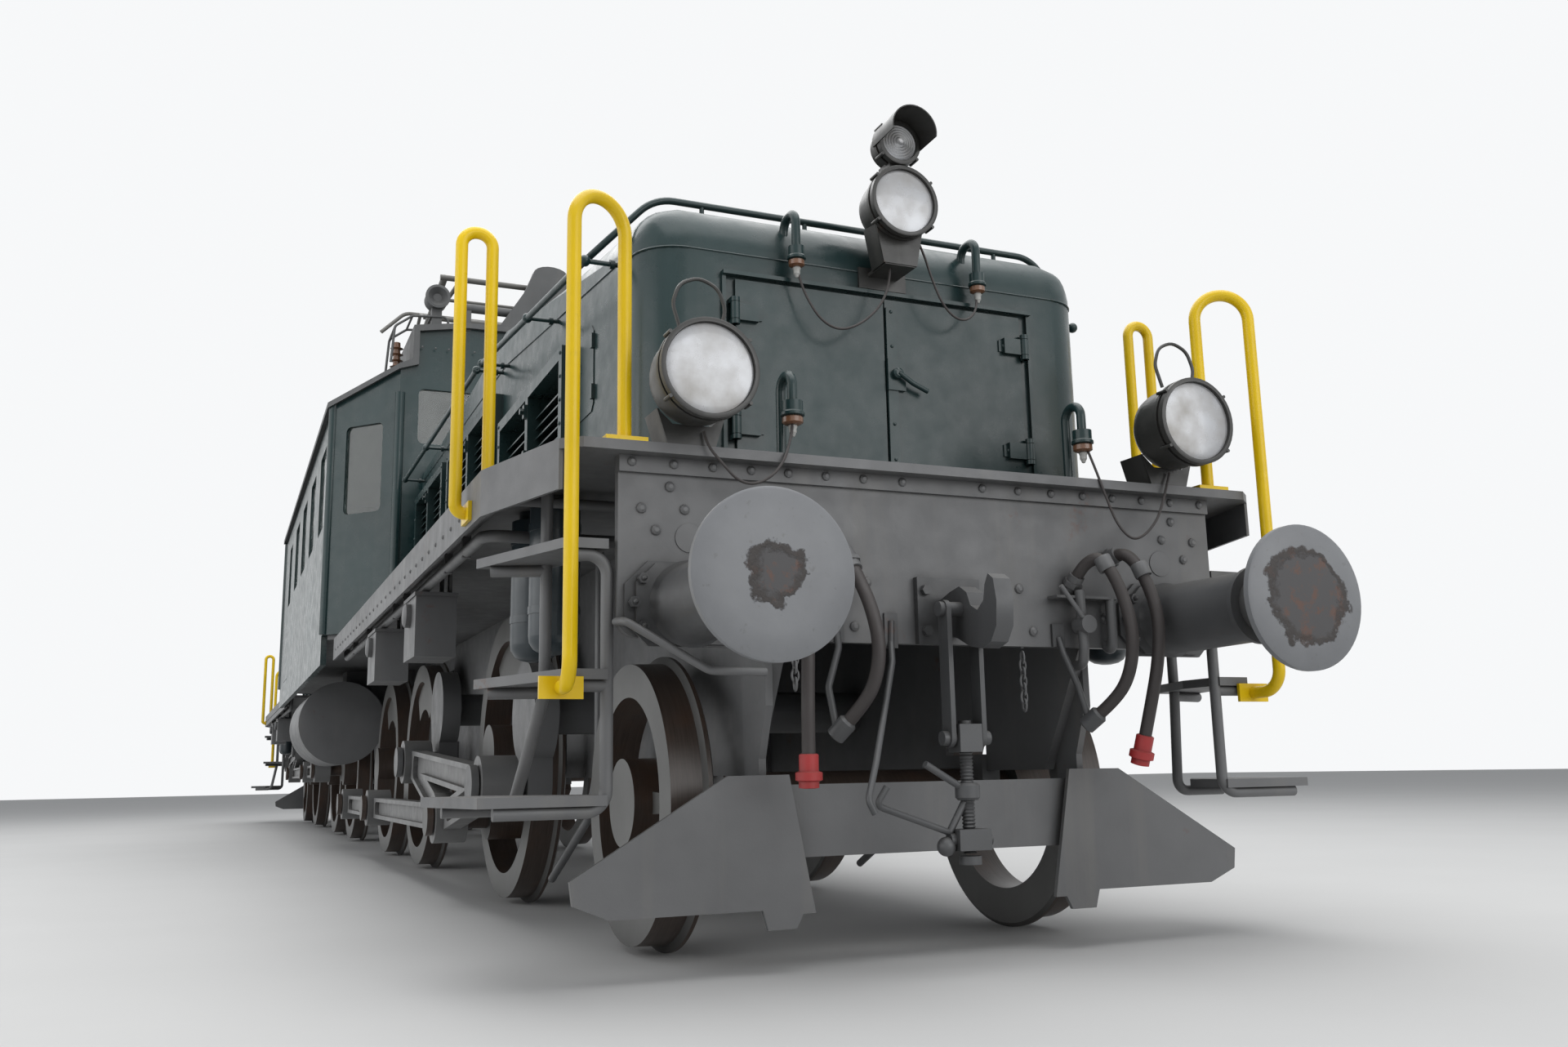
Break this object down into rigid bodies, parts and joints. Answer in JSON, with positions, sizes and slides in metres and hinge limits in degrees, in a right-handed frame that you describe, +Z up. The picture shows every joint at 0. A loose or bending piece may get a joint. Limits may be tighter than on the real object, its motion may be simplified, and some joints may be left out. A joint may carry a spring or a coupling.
{
  "type": "articulated electric locomotive",
  "caption": "Articulated electric locomotive: a centre cab with pantographs between two hooded bogies whose wheels are driven by jackshafts and side rods.",
  "frame": {"origin": "middle of the locomotive, level with the tips of the wheel flanges", "axes": "+X towards the leading end, +Y to its left side, +Z up"},
  "size_m": [19.46, 3.12, 4.4958],
  "materials": {
    "green_paint": "satin, weathered",
    "grey_paint": "satin, rust streaks",
    "roof_paint": "matt",
    "rod_paint": "satin",
    "wheel_steel": "painted, worn tread",
    "yellow_paint": "gloss",
    "lamp_paint": "satin, worn",
    "cabinet_paint": "satin",
    "window_glass": "clear",
    "panto_paint": "matt, weathered"
  },
  "bodies": {
    "cab_body": {"bridge_frame": "grey_paint", "cab_front_wall": "green_paint", "cab_rear_wall": "green_paint", "cab_left_wall": "green_paint", "cab_right_wall": "green_paint", "cab_roof": "roof_paint", "cab_glazing": "window_glass", "cab_interior": "cabinet_paint", "roof_equipment": "roof_paint"},
    "cab_door_left": {"cab_door_left": "green_paint"},
    "cab_door_right": {"cab_door_right": "green_paint"},
    "front_bogie": {"front_bogie_frame": "grey_paint", "front_deck": "grey_paint", "front_end_beam": "grey_paint", "front_buffing_gear": "grey_paint", "front_hood": "green_paint", "front_grab_rails": "yellow_paint", "front_lamps": "lamp_paint"},
    "front_carrying_wheelset": {"front_carrying_wheelset": "wheel_steel"},
    "front_driving_wheelset_1": {"front_driving_wheelset_1": "wheel_steel"},
    "front_driving_wheelset_2": {"front_driving_wheelset_2": "wheel_steel"},
    "front_driving_wheelset_3": {"front_driving_wheelset_3": "wheel_steel"},
    "front_jack_shaft": {"front_jack_shaft": "grey_paint"},
    "front_blind_shaft": {"front_blind_shaft": "grey_paint"},
    "front_rods_left": {"front_rods_left": "rod_paint"},
    "front_rods_right": {"front_rods_right": "rod_paint"},
    "front_hood_door_left": {"front_hood_door_left": "green_paint"},
    "front_hood_door_right": {"front_hood_door_right": "green_paint"},
    "front_pantograph_outer_lower": {"front_pantograph_outer_lower": "panto_paint"},
    "front_pantograph_outer_upper": {"front_pantograph_outer_upper": "panto_paint"},
    "front_pantograph_inner_lower": {"front_pantograph_inner_lower": "panto_paint"},
    "front_pantograph_inner_upper": {"front_pantograph_inner_upper": "panto_paint"},
    "front_pantograph_head": {"front_pantograph_head": "panto_paint"},
    "rear_bogie": {"rear_bogie_frame": "grey_paint", "rear_deck": "grey_paint", "rear_end_beam": "grey_paint", "rear_buffing_gear": "grey_paint", "rear_hood": "green_paint", "rear_grab_rails": "yellow_paint", "rear_lamps": "lamp_paint"},
    "rear_carrying_wheelset": {"rear_carrying_wheelset": "wheel_steel"},
    "rear_driving_wheelset_1": {"rear_driving_wheelset_1": "wheel_steel"},
    "rear_driving_wheelset_2": {"rear_driving_wheelset_2": "wheel_steel"},
    "rear_driving_wheelset_3": {"rear_driving_wheelset_3": "wheel_steel"},
    "rear_jack_shaft": {"rear_jack_shaft": "grey_paint"},
    "rear_blind_shaft": {"rear_blind_shaft": "grey_paint"},
    "rear_rods_left": {"rear_rods_left": "rod_paint"},
    "rear_rods_right": {"rear_rods_right": "rod_paint"},
    "rear_hood_door_left": {"rear_hood_door_left": "green_paint"},
    "rear_hood_door_right": {"rear_hood_door_right": "green_paint"},
    "rear_pantograph_outer_lower": {"rear_pantograph_outer_lower": "panto_paint"},
    "rear_pantograph_outer_upper": {"rear_pantograph_outer_upper": "panto_paint"},
    "rear_pantograph_inner_lower": {"rear_pantograph_inner_lower": "panto_paint"},
    "rear_pantograph_inner_upper": {"rear_pantograph_inner_upper": "panto_paint"},
    "rear_pantograph_head": {"rear_pantograph_head": "panto_paint"}
  },
  "joints": [
    {"name": "cab_door_left_swing", "type": "hinge", "parent": "cab_body", "child": "cab_door_left", "pos_m": [2.226, 1.415, 2.4], "axis": [0, 0, 1], "range_deg": [0, 88]},
    {"name": "cab_door_right_swing", "type": "hinge", "parent": "cab_body", "child": "cab_door_right", "pos_m": [-2.226, -1.415, 2.4], "axis": [0, 0, 1], "range_deg": [0, 88]},
    {"name": "front_bogie_swivel", "type": "hinge", "parent": "cab_body", "child": "front_bogie", "pos_m": [2.35, 0, 1.328], "axis": [0, 0, 1], "range_deg": [-2.5, 2.5]},
    {"name": "front_carrying_wheelset_turn", "type": "hinge", "parent": "front_bogie", "child": "front_carrying_wheelset", "pos_m": [8.25, 0, 0.503], "axis": [0, 1, 0], "continuous": true},
    {"name": "front_driving_wheelset_1_turn", "type": "hinge", "parent": "front_bogie", "child": "front_driving_wheelset_1", "pos_m": [6.15, 0, 0.703], "axis": [0, 1, 0], "continuous": true},
    {"name": "front_driving_wheelset_2_turn", "type": "hinge", "parent": "front_bogie", "child": "front_driving_wheelset_2", "pos_m": [3.25, 0, 0.703], "axis": [0, 1, 0], "continuous": true},
    {"name": "front_driving_wheelset_3_turn", "type": "hinge", "parent": "front_bogie", "child": "front_driving_wheelset_3", "pos_m": [1.45, 0, 0.703], "axis": [0, 1, 0], "continuous": true},
    {"name": "front_jack_shaft_turn", "type": "hinge", "parent": "front_bogie", "child": "front_jack_shaft", "pos_m": [5, 0, 0.983], "axis": [0, 1, 0], "continuous": true},
    {"name": "front_blind_shaft_turn", "type": "hinge", "parent": "front_bogie", "child": "front_blind_shaft", "pos_m": [7.28, 0, 0.858], "axis": [0, 1, 0], "continuous": true},
    {"name": "front_rods_right_turn", "type": "hinge", "parent": "front_driving_wheelset_1", "child": "front_rods_right", "pos_m": [6.15, -1.082, 0.413], "axis": [0, 1, 0], "continuous": true},
    {"name": "front_rods_left_turn", "type": "hinge", "parent": "front_driving_wheelset_1", "child": "front_rods_left", "pos_m": [6.44, 1.082, 0.703], "axis": [0, 1, 0], "continuous": true},
    {"name": "front_hood_door_left_swing", "type": "hinge", "parent": "front_bogie", "child": "front_hood_door_left", "pos_m": [8.732, 0.585, 1.95], "axis": [0, 0, 1], "range_deg": [0, 80]},
    {"name": "front_hood_door_right_swing", "type": "hinge", "parent": "front_bogie", "child": "front_hood_door_right", "pos_m": [8.732, -0.585, 1.95], "axis": [0, 0, -1], "range_deg": [0, 80]},
    {"name": "front_pantograph_raise", "type": "hinge", "parent": "cab_body", "child": "front_pantograph_outer_lower", "pos_m": [2.05, 0, 4.088], "axis": [0, -1, 0], "range_deg": [0, 45]},
    {"name": "front_pantograph_outer_knee", "type": "hinge", "parent": "front_pantograph_outer_lower", "child": "front_pantograph_outer_upper", "pos_m": [3.34288, 0, 4.22389], "axis": [0, -1, 0], "range_deg": [-90, 0]},
    {"name": "front_pantograph_head_tilt", "type": "hinge", "parent": "front_pantograph_outer_upper", "child": "front_pantograph_head", "pos_m": [2.05, 0, 4.35977], "axis": [0, -1, 0], "range_deg": [0, 45]},
    {"name": "front_pantograph_inner_raise", "type": "hinge", "parent": "cab_body", "child": "front_pantograph_inner_lower", "pos_m": [1.45, 0, 4.088], "axis": [0, 1, 0], "range_deg": [0, 45]},
    {"name": "front_pantograph_inner_knee", "type": "hinge", "parent": "front_pantograph_inner_lower", "child": "front_pantograph_inner_upper", "pos_m": [0.15712, 0, 4.22389], "axis": [0, 1, 0], "range_deg": [-90, 0]},
    {"name": "rear_bogie_swivel", "type": "hinge", "parent": "cab_body", "child": "rear_bogie", "pos_m": [-2.35, 0, 1.328], "axis": [0, 0, 1], "range_deg": [-2.5, 2.5]},
    {"name": "rear_carrying_wheelset_turn", "type": "hinge", "parent": "rear_bogie", "child": "rear_carrying_wheelset", "pos_m": [-8.25, 0, 0.503], "axis": [0, 1, 0], "continuous": true},
    {"name": "rear_driving_wheelset_1_turn", "type": "hinge", "parent": "rear_bogie", "child": "rear_driving_wheelset_1", "pos_m": [-6.15, 0, 0.703], "axis": [0, 1, 0], "continuous": true},
    {"name": "rear_driving_wheelset_2_turn", "type": "hinge", "parent": "rear_bogie", "child": "rear_driving_wheelset_2", "pos_m": [-3.25, 0, 0.703], "axis": [0, 1, 0], "continuous": true},
    {"name": "rear_driving_wheelset_3_turn", "type": "hinge", "parent": "rear_bogie", "child": "rear_driving_wheelset_3", "pos_m": [-1.45, 0, 0.703], "axis": [0, 1, 0], "continuous": true},
    {"name": "rear_jack_shaft_turn", "type": "hinge", "parent": "rear_bogie", "child": "rear_jack_shaft", "pos_m": [-5, 0, 0.983], "axis": [0, 1, 0], "continuous": true},
    {"name": "rear_blind_shaft_turn", "type": "hinge", "parent": "rear_bogie", "child": "rear_blind_shaft", "pos_m": [-7.28, 0, 0.858], "axis": [0, 1, 0], "continuous": true},
    {"name": "rear_rods_right_turn", "type": "hinge", "parent": "rear_driving_wheelset_1", "child": "rear_rods_right", "pos_m": [-6.15, 1.082, 0.413], "axis": [0, 1, 0], "continuous": true},
    {"name": "rear_rods_left_turn", "type": "hinge", "parent": "rear_driving_wheelset_1", "child": "rear_rods_left", "pos_m": [-6.44, -1.082, 0.703], "axis": [0, 1, 0], "continuous": true},
    {"name": "rear_hood_door_left_swing", "type": "hinge", "parent": "rear_bogie", "child": "rear_hood_door_left", "pos_m": [-8.732, -0.585, 1.95], "axis": [0, 0, 1], "range_deg": [0, 80]},
    {"name": "rear_hood_door_right_swing", "type": "hinge", "parent": "rear_bogie", "child": "rear_hood_door_right", "pos_m": [-8.732, 0.585, 1.95], "axis": [0, 0, -1], "range_deg": [0, 80]},
    {"name": "rear_pantograph_raise", "type": "hinge", "parent": "cab_body", "child": "rear_pantograph_outer_lower", "pos_m": [-2.05, 0, 4.088], "axis": [0, 1, 0], "range_deg": [0, 45]},
    {"name": "rear_pantograph_outer_knee", "type": "hinge", "parent": "rear_pantograph_outer_lower", "child": "rear_pantograph_outer_upper", "pos_m": [-3.34288, 0, 4.22389], "axis": [0, 1, 0], "range_deg": [-90, 0]},
    {"name": "rear_pantograph_head_tilt", "type": "hinge", "parent": "rear_pantograph_outer_upper", "child": "rear_pantograph_head", "pos_m": [-2.05, 0, 4.35977], "axis": [0, 1, 0], "range_deg": [0, 45]},
    {"name": "rear_pantograph_inner_raise", "type": "hinge", "parent": "cab_body", "child": "rear_pantograph_inner_lower", "pos_m": [-1.45, 0, 4.088], "axis": [0, -1, 0], "range_deg": [0, 45]},
    {"name": "rear_pantograph_inner_knee", "type": "hinge", "parent": "rear_pantograph_inner_lower", "child": "rear_pantograph_inner_upper", "pos_m": [-0.15712, 0, 4.22389], "axis": [0, -1, 0], "range_deg": [-90, 0]}
  ],
  "couplings": [
    {"joint": "front_driving_wheelset_2_turn", "follows": "front_driving_wheelset_1_turn", "ratio": 1},
    {"joint": "front_driving_wheelset_3_turn", "follows": "front_driving_wheelset_1_turn", "ratio": 1},
    {"joint": "front_jack_shaft_turn", "follows": "front_driving_wheelset_1_turn", "ratio": 1},
    {"joint": "front_blind_shaft_turn", "follows": "front_driving_wheelset_1_turn", "ratio": 1},
    {"joint": "front_rods_right_turn", "follows": "front_driving_wheelset_1_turn", "ratio": -1},
    {"joint": "front_rods_left_turn", "follows": "front_driving_wheelset_1_turn", "ratio": -1},
    {"joint": "front_pantograph_outer_knee", "follows": "front_pantograph_raise", "ratio": -2},
    {"joint": "front_pantograph_head_tilt", "follows": "front_pantograph_raise", "ratio": 1},
    {"joint": "front_pantograph_inner_raise", "follows": "front_pantograph_raise", "ratio": 1},
    {"joint": "front_pantograph_inner_knee", "follows": "front_pantograph_raise", "ratio": -2},
    {"joint": "rear_driving_wheelset_2_turn", "follows": "rear_driving_wheelset_1_turn", "ratio": 1},
    {"joint": "rear_driving_wheelset_3_turn", "follows": "rear_driving_wheelset_1_turn", "ratio": 1},
    {"joint": "rear_jack_shaft_turn", "follows": "rear_driving_wheelset_1_turn", "ratio": 1},
    {"joint": "rear_blind_shaft_turn", "follows": "rear_driving_wheelset_1_turn", "ratio": 1},
    {"joint": "rear_rods_right_turn", "follows": "rear_driving_wheelset_1_turn", "ratio": -1},
    {"joint": "rear_rods_left_turn", "follows": "rear_driving_wheelset_1_turn", "ratio": -1},
    {"joint": "rear_pantograph_outer_knee", "follows": "rear_pantograph_raise", "ratio": -2},
    {"joint": "rear_pantograph_head_tilt", "follows": "rear_pantograph_raise", "ratio": 1},
    {"joint": "rear_pantograph_inner_raise", "follows": "rear_pantograph_raise", "ratio": 1},
    {"joint": "rear_pantograph_inner_knee", "follows": "rear_pantograph_raise", "ratio": -2}
  ]
}
